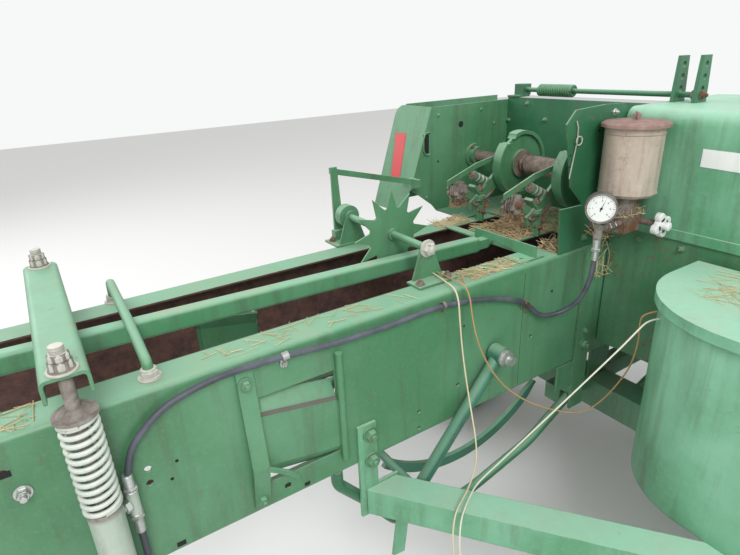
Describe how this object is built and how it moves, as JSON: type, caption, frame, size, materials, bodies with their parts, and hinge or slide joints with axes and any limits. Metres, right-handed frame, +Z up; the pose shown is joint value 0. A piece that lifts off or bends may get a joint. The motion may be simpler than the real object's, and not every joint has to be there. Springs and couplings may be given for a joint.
{
  "type": "small square baler",
  "caption": "Towed hay baler with a square bale case, needles and knotters, side pickup with auger, hydraulic bale tension, swinging tongue and parking jack.",
  "frame": {"origin": "on the ground under the middle of the whole machine", "axes": "+X forwards to the hitch, +Y to the left of travel, +Z up"},
  "size_m": [5.04, 2.66, 1.527],
  "materials": {
    "green_paint": "faded gloss",
    "pale_steel": "dull",
    "spring_steel": "rusty",
    "bare_steel": "worn bare",
    "guard_plastic": "matt",
    "cream_paint": "rusted matt",
    "gauge_face": "gloss",
    "hose_rubber": "matt",
    "tyre": "matt",
    "yellow_paint": "faded gloss",
    "twine": "matt fibres"
  },
  "bodies": {
    "chassis": {"case_side_right": "green_paint", "case_side_left": "green_paint", "case_floor": "green_paint", "case_deck": "green_paint", "centre_rail": "green_paint", "tension_channels": "green_paint", "tension_cylinders": "pale_steel", "tension_springs": "spring_steel", "cross_rod": "green_paint", "hay_resistors": "green_paint", "counter_stand": "green_paint", "knotter_frames": "green_paint", "right_shield": "green_paint", "left_shield": "green_paint", "front_shield": "green_paint", "brace": "green_paint", "needle_guard": "green_paint", "needle_pivots": "bare_steel", "axle": "green_paint", "main_frame": "green_paint", "trough": "bare_steel", "hood": "green_paint", "pickup_pivots": "green_paint", "crank_housing": "green_paint", "gearbox": "green_paint", "twine_box": "green_paint", "tension_pump": "bare_steel", "fluid_can": "cream_paint", "pressure_gauge": "gauge_face", "pressure_hose": "hose_rubber", "twine_long": "twine", "twine_slack": "twine", "twine_tight": "twine", "float_spring": "green_paint", "drive_shield": "green_paint"},
    "left_wheel": {"left_tyre": "tyre", "left_rim": "yellow_paint"},
    "right_wheel": {"right_tyre": "tyre", "right_rim": "yellow_paint"},
    "needles": {"needle_yoke": "green_paint"},
    "bale_counter": {"counter_wheel": "green_paint"},
    "knotters": {"knotter_shaft": "green_paint"},
    "plunger": {"plunger": "bare_steel"},
    "auger": {"auger": "bare_steel"},
    "pickup": {"pickup_frame": "green_paint", "wind_guard": "green_paint"},
    "reel": {"tine_reel": "spring_steel"},
    "flywheel": {"flywheel": "green_paint"},
    "tongue": {"tongue": "green_paint", "hitch_clevis": "green_paint", "driveline": "guard_plastic"},
    "jack": {"jack": "bare_steel"},
    "lid": {"twine_lid": "green_paint"}
  },
  "joints": [
    {"name": "left_wheel_spin", "type": "hinge", "parent": "chassis", "child": "left_wheel", "pos_m": [-0.67, 1.21, 0.355], "axis": [0, 1, 0], "continuous": true},
    {"name": "right_wheel_spin", "type": "hinge", "parent": "chassis", "child": "right_wheel", "pos_m": [-0.67, -1.235, 0.355], "axis": [0, 1, 0], "continuous": true},
    {"name": "needle_swing", "type": "hinge", "parent": "chassis", "child": "needles", "pos_m": [-1.224, 0.73, 0.808], "axis": [0, -1, 0], "range_deg": [0, 88]},
    {"name": "counter_spin", "type": "hinge", "parent": "chassis", "child": "bale_counter", "pos_m": [-1.376, 0.73, 1.111], "axis": [0, 1, 0], "continuous": true},
    {"name": "knotter_spin", "type": "hinge", "parent": "chassis", "child": "knotters", "pos_m": [-0.77, 0.73, 1.208], "axis": [0, 1, 0], "continuous": true},
    {"name": "plunger_stroke", "type": "slide", "parent": "chassis", "child": "plunger", "axis": [-1, 0, 0], "range_m": [0, 0.762]},
    {"name": "auger_spin", "type": "hinge", "parent": "chassis", "child": "auger", "pos_m": [-0.41, 0.73, 0.905], "axis": [0, 1, 0], "continuous": true},
    {"name": "pickup_lift", "type": "hinge", "parent": "chassis", "child": "pickup", "pos_m": [-0.08, 0.73, 0.655], "axis": [0, -1, 0], "range_deg": [-4, 20]},
    {"name": "reel_spin", "type": "hinge", "parent": "pickup", "child": "reel", "pos_m": [0.23, 0.73, 0.44], "axis": [0, 1, 0], "continuous": true},
    {"name": "flywheel_spin", "type": "hinge", "parent": "chassis", "child": "flywheel", "pos_m": [1.325, 0.73, 0.76], "axis": [1, 0, 0], "continuous": true},
    {"name": "tongue_swing", "type": "hinge", "parent": "chassis", "child": "tongue", "pos_m": [1.35, 0.73, 0.372], "axis": [0, 0, 1], "range_deg": [-28, 0]},
    {"name": "jack_lift", "type": "slide", "parent": "tongue", "child": "jack", "axis": [0, 0, 1], "range_m": [0, 0.28]},
    {"name": "lid_hinge", "type": "hinge", "parent": "chassis", "child": "lid", "pos_m": [-0.778, 0.73, 1.036], "axis": [0, 1, 0], "range_deg": [0, 75]}
  ]
}
